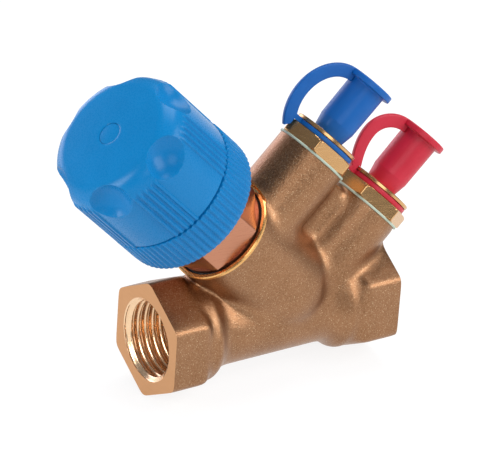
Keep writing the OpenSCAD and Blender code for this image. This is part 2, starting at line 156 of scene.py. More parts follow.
def rounded(points, radius, steps=4, closed=True):
    """Outline of (x, y) points with each corner turned to an arc, of radius or of the point's third
    number, and less where an edge is short."""
    pts = [np.array(p[:2], float) for p in points]
    radii = [p[2] if len(p) > 2 else radius for p in points]
    out = []
    n = len(pts)
    for i, (p, r) in enumerate(zip(pts, radii)):
        if not closed and i in (0, n - 1):
            out.append(p)
            continue
        a, b = pts[i - 1] - p, pts[(i + 1) % n] - p
        la, lb = np.linalg.norm(a), np.linalg.norm(b)
        a, b = a / la, b / lb
        half = math.acos(max(-1.0, min(1.0, float(a @ b)))) / 2
        if r <= 0 or half > math.radians(88):
            out.append(p)
            continue
        reach = min(r / math.tan(half), 0.45 * la, 0.45 * lb)
        r = reach * math.tan(half)
        centre = p + (a + b) / np.linalg.norm(a + b) * (r / math.sin(half))
        start, end = p + a * reach - centre, p + b * reach - centre
        turn = math.atan2(start[0] * end[1] - start[1] * end[0], start @ end)
        for k in range(steps + 1):
            t = turn * k / steps
            c, s = math.cos(t), math.sin(t)
            out.append(centre + np.array([c * start[0] - s * start[1], s * start[0] + c * start[1]]))
    return out


NEAR_AXIS = 0.02


def lathe(name, outline, place, radius, count=128):
    """Turned piece from an outline of (radius, height) points. One that touches the axis is closed there."""
    on_axis = min(p[0] for p in outline) <= 0
    points = rounded(outline, radius, closed=not on_axis)
    rows = [(h, r if r > 0 else NEAR_AXIS) for r, h in points]
    return grid(name, rows, fan_angles(count), place, loop=not on_axis)


def soft_min(values, k):
    """Lowest of several arrays, with the crease between them rounded over about k."""
    values = np.asarray(values, float)
    low = values.min(axis=0)
    return low - k * np.log(np.exp(-(values - low) / k).sum(axis=0))


# Degrees after each corner of a hexagon, closer together where the corner is rounded
HEX_STEPS = (0, 0.6, 1.2, 2, 3.5, 6, 12, 20, 30, 40, 48, 54, 56.5, 58, 58.8, 59.4)
HEX_ANGLES = np.radians([60 * corner + step for corner in range(6) for step in HEX_STEPS])


def hex_radius(af, k):
    """Radius of a hexagon with slightly rounded corners at the angles of HEX_ANGLES."""
    sides = [af / 2 / np.maximum(np.cos(HEX_ANGLES - math.radians(60 * i + 30)), 0.2)
             for i in range(6)]
    return soft_min(sides, k)


def turned_corners(flats, corner_r, slope, steps, k):
    """Pairs (step, radii) of a hexagon whose corners are turned down to corner_r at the end where step is 0."""
    return [(step, soft_min([flats, np.full(len(flats), corner_r + step * slope)], k)) for step in steps]


# Materials

def nodes_of(name):
    mat = bpy.data.materials.new(name)
    mat.use_nodes = True
    tree = mat.node_tree
    tree.nodes.clear()
    out = tree.nodes.new("ShaderNodeOutputMaterial")
    shader = tree.nodes.new("ShaderNodeBsdfPrincipled")
    tree.links.new(shader.outputs[0], out.inputs[0])
    return mat, tree, shader


def noise(tree, scale, detail, rough=0.55, stretch=None, turn=(0, 0, 0)):
    """Noise texture in object space, with features of about 1 / scale metres."""
    coord = tree.nodes.new("ShaderNodeTexCoord")
    source = coord.outputs["Object"]
    if stretch is not None:
        mapping = tree.nodes.new("ShaderNodeMapping")
        mapping.inputs["Scale"].default_value = stretch
        mapping.inputs["Rotation"].default_value = turn
        tree.links.new(source, mapping.inputs[0])
        source = mapping.outputs[0]
    tex = tree.nodes.new("ShaderNodeTexNoise")
    tex.inputs["Scale"].default_value = scale
    tex.inputs["Detail"].default_value = detail
    tex.inputs["Roughness"].default_value = rough
    tree.links.new(source, tex.inputs["Vector"])
    return tex.outputs["Fac"]


def ramp(tree, source, stops):
    """Colour ramp: stops are (position, colour)."""
    node = tree.nodes.new("ShaderNodeValToRGB")
    el = node.color_ramp.elements
    while len(el) < len(stops):
        el.new(0.5)
    for e, (pos, col) in zip(el, stops):
        e.position = pos
        e.color = (*col, 1)
    tree.links.new(source, node.inputs[0])
    return node.outputs[0]


def span(tree, source, low, high, from_low=0.3, from_high=0.7):
    """Maps the source's values between from_low and from_high to low and high."""
    node = tree.nodes.new("ShaderNodeMapRange")
    node.inputs["From Min"].default_value = from_low
    node.inputs["From Max"].default_value = from_high
    node.inputs["To Min"].default_value = low
    node.inputs["To Max"].default_value = high
    tree.links.new(source, node.inputs[0])
    return node.outputs[0]


def mix(tree, fac, a, b):
    """Mix of a and b, each a socket or a colour, by the factor's socket."""
    node = tree.nodes.new("ShaderNodeMix")
    node.data_type = "RGBA"
    for key, value in (("Factor", fac), ("A", a), ("B", b)):
        socket = [s for s in node.inputs if s.name == key and s.enabled][0]
        if isinstance(value, tuple):
            socket.default_value = (*value, 1)
        else:
            tree.links.new(value, socket)
    return [s for s in node.outputs if s.enabled][0]


def bump(tree, shader, layers):
    """Bump from (source, strength, distance in metres) layers, one on the other."""
    normal = None
    for source, strength, distance in layers:
        node = tree.nodes.new("ShaderNodeBump")
        node.inputs["Strength"].default_value = strength
        node.inputs["Distance"].default_value = distance
        tree.links.new(source, node.inputs["Height"])
        if normal is not None:
            tree.links.new(normal, node.inputs["Normal"])
        normal = node.outputs[0]
    tree.links.new(normal, shader.inputs["Normal"])


def cast_material():
    """Sand-cast bronze: broad colour drift, fine grain and bright specks painted into the colour as glints."""
    mat, tree, shader = nodes_of("cast_bronze")
    broad = noise(tree, 110, 3)
    grain = noise(tree, 2300, 3, 0.65)
    speck = noise(tree, 4200, 2, 0.7)
    base = ramp(tree, broad, [(0.3, (0.22, 0.102, 0.046)), (0.55, (0.275, 0.132, 0.063)),
                              (0.75, (0.33, 0.166, 0.083))])
    tint = mix(tree, span(tree, grain, 0.0, 0.8), base, (0.42, 0.228, 0.12))
    # Sparse bright specks painted into the colour as glints
    glint = mix(tree, span(tree, speck, 0.0, 1.0, 0.6, 0.76), tint, (0.95, 0.72, 0.46))
    tree.links.new(glint, shader.inputs["Base Color"])
    shader.inputs["Metallic"].default_value = 1.0
    tree.links.new(span(tree, grain, 0.28, 0.42), shader.inputs["Roughness"])
    bump(tree, shader, [(broad, 0.35, 0.0008), (grain, 0.6, 0.00016), (speck, 0.4, 0.00006)])
    return mat


TOOL_MARKS = 1500
ALONG_PIPE = (0, math.radians(90), 0)
ALONG_PORT = (0, math.radians(45), 0)


def turned_material(name, dark, light, rough=(0.2, 0.34), turn=(0, -LEAN, 0), grain=0.12):
    """Turned or milled metal with fine tool marks square to the axis that turn leans from z."""
    mat, tree, shader = nodes_of(name)
    marks = noise(tree, TOOL_MARKS, 3, 0.6, (0.12, 0.12, 4.0), turn)
    cloud = noise(tree, 160, 3)
    col = mix(tree, span(tree, marks, 0.0, 1.0), dark, light)
    col = mix(tree, span(tree, cloud, 0.0, 0.5), col, light)
    tree.links.new(col, shader.inputs["Base Color"])
    shader.inputs["Metallic"].default_value = 0.95
    tree.links.new(span(tree, marks, *rough), shader.inputs["Roughness"])
    bump(tree, shader, [(marks, grain, 0.00002)])
    return mat


def plastic_material(name, low, high, rough, grain_scale=3000, grain=0.12, shine=0.5):
    """Moulded plastic: slight colour drift, fine surface grain and varied gloss."""
    mat, tree, shader = nodes_of(name)
    cloud = noise(tree, 70, 3)
    fine = noise(tree, grain_scale, 3, 0.6)
    tree.links.new(mix(tree, span(tree, cloud, 0.0, 1.0), low, high), shader.inputs["Base Color"])
    tree.links.new(span(tree, fine, *rough), shader.inputs["Roughness"])
    shader.inputs["Specular IOR Level"].default_value = shine
    bump(tree, shader, [(cloud, 0.08, 0.0004), (fine, grain, 0.00002)])
    return mat


CAST = cast_material()
MACHINED = turned_material("machined_bronze", (0.57, 0.28, 0.115), (0.64, 0.33, 0.15), (0.28, 0.36),
                           turn=ALONG_PIPE, grain=0.05)
# The cut thread is a lighter, paler copy of the machined bronze: painted light that brightens the bands in the
# bore
THREAD_PAINTED_LIGHT = turned_material("cut_thread_painted_light", (0.86, 0.56, 0.32), (0.93, 0.66, 0.42), (0.22, 0.26),
                         turn=ALONG_PIPE, grain=0.0)
RIM = turned_material("machined_rim", (0.72, 0.38, 0.12), (0.84, 0.48, 0.18), grain=0.04)
COPPER = turned_material("bonnet_brass", (0.48, 0.205, 0.12), (0.56, 0.255, 0.155), (0.26, 0.34),
                         grain=0.04)
PORT_BRASS = turned_material("port_brass", (0.6, 0.34, 0.14), (0.7, 0.42, 0.19), (0.2, 0.28),
                             turn=ALONG_PORT, grain=0.05)
STEEL = turned_material("plain_steel", (0.45, 0.45, 0.47), (0.66, 0.66, 0.68))
WHEEL = plastic_material("wheel_blue", (0.002, 0.185, 0.47), (0.004, 0.21, 0.52), (0.24, 0.32),
                         shine=0.22)
CAP_BLUE = plastic_material("cap_blue", (0.002, 0.09, 0.36), (0.004, 0.12, 0.43), (0.34, 0.48),
                            grain_scale=2400, grain=0.15, shine=0.3)
CAP_RED = plastic_material("cap_red", (0.52, 0.01, 0.03), (0.62, 0.02, 0.05), (0.34, 0.48),
                           grain_scale=2400, grain=0.15, shine=0.4)
SEAL = plastic_material("pale_seal", (0.42, 0.52, 0.42), (0.6, 0.68, 0.55), (0.45, 0.65),
                        grain_scale=4000, grain=0.4)
RUBBER = plastic_material("black_rubber", (0.012, 0.012, 0.013), (0.02, 0.02, 0.022), (0.5, 0.7),
                          grain_scale=4000, grain=0.3)


def finish_piece(obj, body, slot, material, *stands_for):
    """Puts a material on a piece, makes it ride on its body and hides the nodes that it stands for."""
    if material is not None:
        dress(obj, material)
    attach(obj, body)
    if stands_for:
        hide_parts(*stands_for)


# The casting

HEX_LEN = 10.5
HEX_AF = 27.0
COLLAR_R = 13.3
COLLAR_END = 16.5
PIPE_R = 10.5
CHAMBER_R = 13.1
BALL_H = 12.0
RIM_H = 36.5
BOSS_R = 9.35
WEB_HALF = 2.6
VOXEL = 0.36
SPARE = 1.5
# Smoothing of the casting: steps that fill inner corners, of which the first also round outer ones,
# then steps in and out in turn, which keep the volume. The rates are shares of the way to the neighbours.
FILL_STEPS = 90
ROUND_STEPS = 40
SMOOTH_STEPS = 30
FILL_RATE = 0.9
ROUND_RATE = 0.5
SLIDE_RATE = 0.3
SMOOTH_IN, SMOOTH_OUT = 0.5, -0.52


def pipe_end_solids(place):
    """Hexagon and bead collar of one pipe end, run past the end face by SPARE."""
    corner = hex_radius(HEX_AF, 0.35)
    rows = [(-SPARE, corner), (HEX_LEN - 0.9, corner), (HEX_LEN, corner - 0.9)]
    hexagon = grid("cast_hex", rows, HEX_ANGLES, place)
    valley = COLLAR_R - 0.6
    bead = [(0, 4), (valley, 4), (valley, HEX_LEN + 0.5, 0.8), (COLLAR_R, HEX_LEN + 1.8, 0.8),
            (COLLAR_R, HEX_LEN + 3.2, 1.5), (COLLAR_R - 1.4, COLLAR_END - 1.2, 1.0),
            (PIPE_R, COLLAR_END + 0.3, 0.5), (0, COLLAR_END + 1)]
    return [hexagon, lathe("cast_bead", bead, place, 0.3)]


def casting_solids():
    """Pipe ends, pipe, chamber, bosses and the web between them, which overlap."""
    solids = pipe_end_solids(OUTLET) + pipe_end_solids(INLET)
    pipe = [(0, 8), (PIPE_R, 8), (PIPE_R, BODY_LEN - 8), (0, BODY_LEN - 8)]
    solids.append(lathe("cast_pipe", pipe, OUTLET, 0))
    ball = [(CHAMBER_R * math.cos(math.radians(a)), BALL_H + CHAMBER_R * math.sin(math.radians(a)))
            for a in range(-88, 1, 4)]
    chamber = [(0, BALL_H - CHAMBER_R)] + ball + [(CHAMBER_R, RIM_H + SPARE), (0, RIM_H + SPARE)]
    solids.append(lathe("cast_chamber", chamber, SPINDLE, 0))
    for height in (PORT_LOW, PORT_HIGH):
        boss = [(0, 0), (BOSS_R, 0), (BOSS_R, BOSS_TOP + SPARE), (0, BOSS_TOP + SPARE)]
        solids.append(lathe("cast_boss", boss, port_frame(height), 0))
    solids.append(box("cast_web", (0, BOSS_TOP - 1), (-WEB_HALF, WEB_HALF), (PORT_LOW, PORT_HIGH), SPINDLE))
    return solids


def join(objects, name):
    bm = bmesh.new()
    for obj in objects:
        bm.from_mesh(obj.data)
        bpy.data.objects.remove(obj)
    mesh = bpy.data.meshes.new(name)
    bm.to_mesh(mesh)
    bm.free()
    obj = bpy.data.objects.new(name, mesh)
    bpy.context.scene.collection.objects.link(obj)
    return obj


def neighbours(mesh):
    """Both ends of every edge, in both directions, and the number of edges at each vertex."""
    edges = np.zeros(len(mesh.edges) * 2, np.int64)
    mesh.edges.foreach_get("vertices", edges)
    a, b = edges.reshape(-1, 2).T
    start = np.concatenate([a, b])
    end = np.concatenate([b, a])
    return start, end, np.bincount(start, minlength=len(mesh.vertices)).astype(float)


def vertex_normals(co, tris):
    a, b, c = (co[tris[:, i]] for i in range(3))
    face = np.cross(b - a, c - a)
    normal = np.zeros_like(co)
    for axis in range(3):
        for corner in range(3):
            normal[:, axis] += np.bincount(tris[:, corner], face[:, axis], len(co))
    return normal / np.maximum(np.linalg.norm(normal, axis=1, keepdims=True), 1e-20)


def soften_casting(obj):
    """Fills the casting's inner corners to fillets and rounds its outer edges a little."""
    mesh = obj.data
    mesh.calc_loop_triangles()
    tris = np.zeros(len(mesh.loop_triangles) * 3, np.int64)
    mesh.loop_triangles.foreach_get("vertices", tris)
    tris = tris.reshape(-1, 3)
    co = np.zeros(len(mesh.vertices) * 3)
    mesh.vertices.foreach_get("co", co)
    co = co.reshape(-1, 3)
    start, end, degree = neighbours(mesh)

    def average(values):
        sums = [np.bincount(start, values[end, i], len(values)) for i in range(3)]
        return np.stack(sums, 1) / degree[:, None]

    for step in range(FILL_STEPS):
        normal = vertex_normals(co, tris)
        move = average(co) - co
        out = (move * normal).sum(1)
        slide = move - out[:, None] * normal
        round_rate = ROUND_RATE if step < ROUND_STEPS else 0.0
        out = np.where(out > 0, FILL_RATE * out, round_rate * out)
        co = co + out[:, None] * normal + SLIDE_RATE * slide
    for step in range(SMOOTH_STEPS):
        move = average(co) - co
        co = co + (SMOOTH_IN if step % 2 == 0 else SMOOTH_OUT) * move
    mesh.vertices.foreach_set("co", co.ravel())
    mesh.update()


THREAD_MINOR = 9.3155
THREAD_MAJOR = 10.48
THREAD_PITCH = 2.1
THREAD_LEN = 13.0
MOUTH_R = 10.45
BORE_R = 7.5


def thread_cutter(name, place, reach):
    """Cutter of one pipe end: mouth chamfer, helical thread and waterway. Its far end is slanted along
    the seat web, which it meets at the depth reach on the pipe's axis."""
    angles = fan_angles(144)
    rows = [(-SPARE - 1, MOUTH_R), (-0.01, MOUTH_R)]
    for z in np.arange(0, THREAD_LEN + 0.01, 0.1):
        phase = (z / THREAD_PITCH - angles / (2 * math.pi)) % 1.0
        ridge = 0.5 + 0.5 * np.cos(2 * math.pi * phase)
        fade = min(1.0, max(0.0, (THREAD_LEN - 0.6 - z) / THREAD_PITCH))
        radius = THREAD_MINOR + (THREAD_MAJOR - THREAD_MINOR) * ridge * fade
        rows.append((z, np.maximum(radius, MOUTH_R - z * 1.5)))
    rows.append((THREAD_LEN + 0.7, BORE_R + 0.9))
    rows.append((THREAD_LEN + 1.4, BORE_R))
    rows.append((reach - BORE_R * np.cos(angles), BORE_R))
    return grid(name, rows, angles, place)


def machining_cutters():
    """Cutters of the two pipe ends, the chamber and the ports, each with the kind of metal it leaves."""
    seat_h, web_low = 8.0, 5.6
    root2 = math.sqrt(2)
    # at angle 0 the outlet cutter is at the pipe's lowest point and the inlet cutter at its highest
    yield "pipe", thread_cutter("cut_outlet", OUTLET, SPINDLE_X - seat_h * root2)
    yield "pipe", thread_cutter("cut_inlet", INLET, BODY_LEN - SPINDLE_X + web_low * root2)
    inside = [(0, 1.6), (6, 1.6), (6, seat_h), (9.4, seat_h), (9.4, 27), (9.85, 27), (9.85, 34.5),
              (12.3, 34.5), (12.3, RIM_H - 0.15), (12.45, RIM_H), (13.2, RIM_H), (13.6, RIM_H - 0.4),
              (14.0, RIM_H - 0.4), (14.0, 50), (0, 50)]
    yield "rim", lathe("cut_chamber", inside, SPINDLE, 0)
    for height, hole_height in ((PORT_LOW, PORT_LOW), (PORT_HIGH, PORT_HIGH - 4.3)):
        bore = [(0, PORT_FLOOR), (6.5, PORT_FLOOR), (6.5, BOSS_TOP), (12.5, BOSS_TOP),
                (12.5, BOSS_TOP + 4), (0, BOSS_TOP + 4)]
        yield "port", lathe("cut_port", bore, port_frame(height), 0)
        hole = [(0, 4.7), (1.1, 4.7), (1.1, 20), (0, 20)]
        yield "port", lathe("cut_hole", hole, port_frame(hole_height), 0, count=32)


def end_cutter(x, side):
    """Block that cuts the casting flat at an end face."""
    length, half = 6, 20
    return box("cut_end", (x, x + side * length), (-half, half), (-half, half))


def valve_casting():
    """Casting with its rim, cut by the machining cutters, which leave their own metal."""
    obj = join(casting_solids(), "valve_casting")
    mod = obj.modifiers.new("remesh", "REMESH")
    mod.mode = "VOXEL"
    mod.voxel_size = VOXEL * MM
    apply_modifiers(obj)
    soften_casting(obj)
    step = [(12.5, RIM_H - 1.1), (13.45, RIM_H - 1.1, 0.3), (13.45, RIM_H + 1), (12.5, RIM_H + 1)]
    rim = lathe("rim_step", step, SPINDLE, 0)
    dress(obj, CAST)
    dress(rim, RIM)
    cut(obj, rim, "UNION")
    metal = {"pipe": THREAD_PAINTED_LIGHT, "rim": RIM, "port": PORT_BRASS}
    for x, side in ((0, -1), (BODY_LEN, 1)):
        cutter = end_cutter(x, side)
        cutter.data.materials.append(MACHINED)
        cut(obj, cutter)
    for kind, cutter in machining_cutters():
        cutter.data.materials.append(metal[kind])
        cut(obj, cutter)
    shade(obj, 30)
    finish_piece(obj, "valve", "cast_brass", None, "valve_body")


# Bonnet

def bonnet():
    """Hexagon with turned corners, turret, thread and the guide of the plug's stem."""
    af, low, high, chamfer, hex_turn = 22.5, 36.9, 48.9, 1.35, 53
    foot, turret_top, bore_r = 19.9, 56.2, 4.05
    outer = hex_radius(af, 0.1)
    guide = hex_radius(9.8, 0.05)
    corners = turned_corners(outer, af / math.sqrt(3) - chamfer, 1.7, (0, 0.15, 0.3, 0.45, 0.6, 0.8, 1.0), 0.05)
    rows = [(foot, 8.0), (26.9, 8.0), (27, 9.8), (34.5, 9.8), (34.5, 10.9), (36.0, 10.9), (36.0, 11.8),
            (low - 0.02, 11.8)]
    rows += [(low + step, radii) for step, radii in corners]
    rows += [(low + 1.4, outer), (high - 1.4, outer)]
    rows += [(high - step, radii) for step, radii in reversed(corners)]
    rows += [(high + 0.01, 8.8), (turret_top - 0.1, 8.8), (turret_top, 8.7), (turret_top, bore_r),
             (RIM_H, bore_r), (RIM_H, guide), (foot, guide)]
    place = SPINDLE @ Matrix.Rotation(math.radians(hex_turn), 4, "Z")
    obj = grid("bonnet_hexagon", rows, HEX_ANGLES, place, loop=True)
    shade(obj, 25)
    finish_piece(obj, "valve", "machined_brass", COPPER, "bonnet")


# Handwheel

GRIP_R = 17.75
RIB_H = 0.4
WHEEL_LOW = 49.1
RING_TOP = 59.4
WHEEL_TOP = 82.4
SHOULDER_R = 5.0
CROWN_RISE = 0.8
RING_RIBS = 72
DIMPLES = 6
DIMPLE_TURN = math.radians(-77)
DIMPLE_TILT = math.radians(21)
DIMPLE_R = 7.0
DIMPLE_DEPTH = 3.3
RIBS_PER_GROUP = 5
# Centre of the shoulder's arc, out from the spindle and up
SHOULDER_MID = GRIP_R - SHOULDER_R
SHOULDER_H = WHEEL_TOP - CROWN_RISE - SHOULDER_R
# Outer radius of the hub and inner radius of the shell, the same in the ring and the grip
HUB_R = 5.5
SHELL_R = 15.75


def rib_wave(turns, sharp=0.8):
    """Cross section of ribs, from 0 in a groove to 1 on a rib, for an array of turns."""
    wave = np.clip(0.5 + sharp * np.cos(2 * math.pi * turns), 0, 1)
    return wave * wave * (3 - 2 * wave)


def handwheel_ring():
    """Lower ring with ribs all round, and its hub."""
    angles = fan_angles(RING_RIBS * 10)
    ribs = rib_wave(angles / (2 * math.pi) * RING_RIBS)
    rows = [(WHEEL_LOW, GRIP_R - 2.0), (WHEEL_LOW, GRIP_R - 0.5)]
    for lift, fade in [(0.06, 0.3), (0.2, 0.7), (0.45, 1.0)]:
        rows.append((WHEEL_LOW + lift, GRIP_R - 0.35 * (1 - fade) ** 2 + (fade - 0.35) * RIB_H * ribs))
    for h in (2.0, 5.0, 8.0, 9.9):
        rows.append((WHEEL_LOW + h, GRIP_R + RIB_H * ribs))
    rows.append((RING_TOP - 0.1, GRIP_R - 0.05 + 0.8 * RIB_H * ribs))
    rows.append((RING_TOP, GRIP_R - 0.25 + 0.4 * RIB_H * ribs))
    rows += [(RING_TOP, HUB_R), (65.8, HUB_R), (65.9, 5.4), (65.9, 3.6),
             (WHEEL_LOW + 8.3, 3.6), (WHEEL_LOW + 8.3, SHELL_R)]
    obj = grid("handwheel_lower_ring", rows, angles, SPINDLE, loop=True)
    shade(obj, 40)
    finish_piece(obj, "handwheel", "wheel_plastic", WHEEL, "handwheel_ring")


def grip_outline():
    """Outer half section of the grip, from the seam up over the shoulder to the hole of the cover."""
    rise_r = (GRIP_R ** 2 + CROWN_RISE ** 2) / (2 * CROWN_RISE)
    rows = [(GRIP_R - 0.7, RING_TOP), (GRIP_R - 0.7, RING_TOP + 0.3), (GRIP_R - 0.25, RING_TOP + 0.35),
            (GRIP_R, RING_TOP + 0.6)]
    rows += [(GRIP_R, h) for h in np.arange(RING_TOP + 1.5, SHOULDER_H, 0.35)]
    top_lift = WHEEL_TOP - rise_r + math.sqrt(rise_r ** 2 - SHOULDER_MID ** 2)
    # the shoulder's arc is stretched a little so that it ends on the crown
    fit = (top_lift - SHOULDER_H) / SHOULDER_R
    for a in np.radians(np.arange(0, 88, 2.0)):
        rows.append((SHOULDER_MID + SHOULDER_R * math.cos(a), SHOULDER_H + SHOULDER_R * fit * math.sin(a)))
    for r in np.arange(SHOULDER_MID, 3.3, -0.35):
        rows.append((r, WHEEL_TOP - rise_r + math.sqrt(rise_r ** 2 - r ** 2)))
    rows += [(3.05, WHEEL_TOP - 0.03), (2.88, WHEEL_TOP - 0.12), (2.85, WHEEL_TOP - 0.3)]
    return rows


def cut_dimples(r, h, angles):
    """Moves the points of one row in to the balls of the thumb dimples."""
    reach = SHOULDER_R - DIMPLE_DEPTH + DIMPLE_R
    ball_r = SHOULDER_MID + reach * math.cos(DIMPLE_TILT)
    ball_h = SHOULDER_H + reach * math.sin(DIMPLE_TILT)
    r = np.array(r, float)
    h = np.array(h, float)
    turn = (angles - DIMPLE_TURN + math.pi / DIMPLES) % (2 * math.pi / DIMPLES) - math.pi / DIMPLES
    cosine = np.cos(turn)
    # each point moves along a line towards an inner point at the same angle, until it leaves the ball
    inner_r, inner_h = SHOULDER_MID - 4.0, SHOULDER_H - 1.0
    dr, dh = inner_r - r, inner_h - h
    length = np.hypot(dr, dh)
    dr, dh = dr / length, dh / length
    # ball in the plane of the angle: (r cos t - ball_r)^2 + (r sin t)^2 + (h - ball_h)^2 = DIMPLE_R^2
    b = dr * (r - ball_r * cosine) + dh * (h - ball_h)
    c = r * r - 2 * r * ball_r * cosine + ball_r ** 2 + (h - ball_h) ** 2 - DIMPLE_R ** 2
    root = np.sqrt(np.maximum(b * b - c, 0))
    step = np.where(c < 0, -b + root, 0.0)
    return r + step * dr, h + step * dh


def handwheel_grip():
    """Upper shell with its thumb dimples, the rib groups between them and its inside."""
    per_rib = 12
    count = RING_RIBS * per_rib
    angles = fan_angles(count)
    group = 2 * math.pi / DIMPLES
    from_middle = (angles - DIMPLE_TURN) % group - group / 2
    turns = from_middle / (2 * math.pi) * RING_RIBS
    in_group = np.abs(turns) < RIBS_PER_GROUP / 2
    ribs = np.where(in_group, rib_wave(turns, 0.85), 0.0)
    rib_top = SHOULDER_H + 1.6
    rows = []
    for r, h in grip_outline():
        fade = np.clip((rib_top - h) / 1.5, 0, 1) * np.clip((h - RING_TOP - 0.4) / 0.2, 0, 1)
        radius, height = cut_dimples(np.full(count, r), np.full(count, h), angles)
        uncut = np.abs(radius - r) < 1e-9
        radius = radius + RIB_H * ribs * fade * uncut
        rows.append((height, radius))
    rows += [(76.0, 2.85), (76.0, 1.6), (70.0, 1.6), (70.0, 3.5), (65.95, 3.5), (65.95, HUB_R),
             (72.9, HUB_R), (72.9, 14.6), (71.7, SHELL_R), (RING_TOP, SHELL_R)]
    obj = grid("handwheel_upper_grip", rows, angles, SPINDLE, loop=True)
    shade(obj, 30)
    finish_piece(obj, "handwheel", "wheel_plastic", WHEEL, "handwheel_grip")


def handwheel_cover():
    top = WHEEL_TOP - 0.12
    outline = [(0, top - 1.7), (2.8, top - 1.7), (2.8, top - 0.05, 0.12), (0, top)]
    obj = lathe("handwheel_centre_cover", outline, SPINDLE, 0.1, count=96)
    finish_piece(obj, "handwheel", "wheel_plastic", WHEEL, "handwheel_cover")


# Test ports, caps and straps

DISC_R = 8.65
HEX_START = 28.8
HEX_END = 32.15
DISC_LOW = 33.55
DISC_HIGH = 34.45
PORT_AF = 18.0
CAP_LOW = 34.55
CAP_HIGH = 51.25
CAP_FLANGE_R = 6.4
CAP_FLANGE_LOW = CAP_HIGH - 1.6


def port_body(colour, height, turn):
    """Screwed fitting: thread, hexagon, groove of the tether ring, top disc and the bore of the core."""
    chamfer = 0.7
    corners = turned_corners(hex_radius(PORT_AF, 0.08), PORT_AF / math.sqrt(3) - chamfer, 1.8,
                             (0, 0.1, 0.2, 0.35, 0.5), 0.04)
    rows = [(PORT_FLOOR, 6.2), (19.4, 6.45), (HEX_START - 0.01, 6.45)]
    rows += [(HEX_START + step, radii) for step, radii in corners]
    rows += [(HEX_END - step, radii) for step, radii in reversed(corners)]
    rows += [(HEX_END, 7.2), (DISC_LOW, 7.2), (DISC_LOW, DISC_R - 0.12), (DISC_LOW + 0.1, DISC_R),
             (DISC_HIGH - 0.18, DISC_R), (DISC_HIGH, DISC_R - 0.2), (DISC_HIGH, 3.8),
             (DISC_HIGH - 0.25, 3.55), (DISC_HIGH - 4, 3.55), (DISC_HIGH - 4, 4.2),
             (DISC_HIGH - 11, 4.2), (DISC_HIGH - 11, 1.5), (PORT_FLOOR, 1.5)]
    place = port_frame(height) @ Matrix.Rotation(math.radians(turn), 4, "Z")
    obj = grid(colour + "_port_fitting", rows, HEX_ANGLES, place, loop=True)
    shade(obj, 25)
    finish_piece(obj, "valve", "port_brass", PORT_BRASS, colour + "_port_body")


def port_seal(colour, height):
    inner, outer = 6.55, BOSS_R + 0.3
    outline = [(inner, BOSS_TOP), (outer, BOSS_TOP, 0.2), (outer, HEX_START, 0.2), (inner, HEX_START)]
    obj = lathe(colour + "_flat_seal", outline, port_frame(height), 0.1)
    finish_piece(obj, "valve", "pale_seal", SEAL, colour + "_port_seal")


def tether_ring(colour, height, material):
    low, high = HEX_END + 0.08, DISC_LOW - 0.08
    outline = [(7.3, low), (8.5, low, 0.25), (8.5, high, 0.25), (7.3, high)]
    obj = lathe(colour + "_ring_band", outline, port_frame(height), 0.08)
    finish_piece(obj, colour + "_tether", colour + "_cap_plastic", material, colour + "_tether_ring")


def cap(colour, height, material):
    outline = [(0, 30.65), (3.5, 30.65, 0.4), (3.5, CAP_LOW - 0.02, 0.1), (4.1, CAP_LOW, 0.3),
               (4.8, CAP_LOW + 3.6, 1.2), (4.9, CAP_FLANGE_LOW, 0.35), (CAP_FLANGE_R, CAP_FLANGE_LOW, 0.25),
               (CAP_FLANGE_R, CAP_HIGH, 0.3), (0, CAP_HIGH)]
    obj = lathe(colour + "_pull_cap", outline, port_frame(height), 0.2)
    finish_piece(obj, colour + "_plug_cap", colour + "_cap_plastic", material, colour + "_cap")


CAP_LEN = 16.8
STRAP_OUT = (DISC_R + CAP_FLANGE_R) * 0.31
STRAP_W = 3.4
STRAP_T = 1.4
STRAP_STATIONS = 64
STRAP_END = 87
STRAP_TURN = 12
TETHER_MID = 32.85
TETHER_HALF = 0.6


def strap(colour, height, material, belly, belly_share, start, draw):
    """Band of rounded section, swept along an ellipse from the tether ring up to the cap, with a foot on
    the ring. It stands out by belly at the height belly_share, and a draw over 1 pulls its lower part in."""
    section = rounded([(-STRAP_W / 2, -STRAP_T / 2), (STRAP_W / 2, -STRAP_T / 2),
                       (STRAP_W / 2, STRAP_T / 2), (-STRAP_W / 2, STRAP_T / 2)], 0.35, 3)
    up = CAP_LEN * belly_share
    reach = DISC_R + belly - STRAP_OUT
    rise = CAP_LEN - up
    drop = rise if draw == 1 else CAP_LEN - 1.26
    verts, faces = [], []
    stations = np.radians(np.linspace(start, STRAP_END, STRAP_STATIONS))
    for a in stations:
        inward = math.cos(a) ** (draw if a < 0 else 1)
        tall = drop if a < 0 else rise
        for across, thick in section:
            verts.append((STRAP_OUT + (reach + across) * inward, thick,
                          TETHER_MID + up + (tall + across) * math.sin(a)))
    n = len(section)
    for i in range(len(stations) - 1):
        for j in range(n):
            k = (j + 1) % n
            faces.append((i * n + j, i * n + k, (i + 1) * n + k, (i + 1) * n + j))
    faces.append(tuple(range(n)))
    faces.append(tuple(range((len(stations) - 1) * n, len(stations) * n)))
    turn = Matrix.Rotation(math.radians(180 - STRAP_TURN), 4, "Z")
    place = port_frame(height)
    obj = new_object(colour + "_bent_strap", verts, faces, place @ turn)
    foot_out = 12.0 if draw == 1 else 10.6
    foot_low, foot_high = TETHER_MID - TETHER_HALF, TETHER_MID + TETHER_HALF
    foot = box("strap_foot", (8.2, foot_out), (-STRAP_T / 2 + 0.02, STRAP_T / 2 - 0.02), (foot_low, foot_high),
               place @ turn, smooth=False)
    cut(obj, foot, "UNION")
    clear = [(0, 27), (10.55, 27), (10.55, foot_low), (8.46, foot_low), (8.46, foot_high),
             (8.8, foot_high), (8.8, CAP_LOW), (5.0, CAP_LOW), (5.0, CAP_HIGH - 1.65),
             (6.45, CAP_HIGH - 1.65), (6.45, CAP_HIGH + 5), (0, CAP_HIGH + 5)]
    cut(obj, lathe("strap_clear", clear, place, 0))
    shade(obj, 40)
    dress(obj, material)
    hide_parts(colour + "_strap")
    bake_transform(obj)


# The inner pieces keep their solids and get their finish

